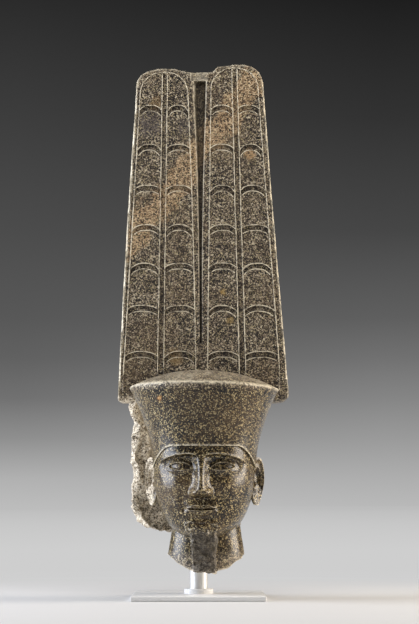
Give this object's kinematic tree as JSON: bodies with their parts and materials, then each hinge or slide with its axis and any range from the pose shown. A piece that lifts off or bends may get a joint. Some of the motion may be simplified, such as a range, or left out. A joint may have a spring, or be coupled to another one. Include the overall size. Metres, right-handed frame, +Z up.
{
  "type": "amun head sculpture",
  "caption": "Ancient Egyptian god's head with a flat cap and tall double plumes, broken off at the neck, held on a rod with a square foot.",
  "frame": {"origin": "middle of the foot's underside, on the rod's axis", "axes": "+Z up along the rod, the face looks along -Y, +X is the viewer's right"},
  "size_m": [0.2916, 0.243, 0.9125],
  "materials": {
    "granodiorite": "dark speckled granodiorite, worn polish, rough where broken",
    "satin_steel": "satin",
    "pale_enamelled_steel": "matt pale enamel"
  },
  "bodies": {
    "root": {"stone_head": "granodiorite", "mount_rod": "satin_steel", "mount_foot": "pale_enamelled_steel"}
  },
  "joints": []
}
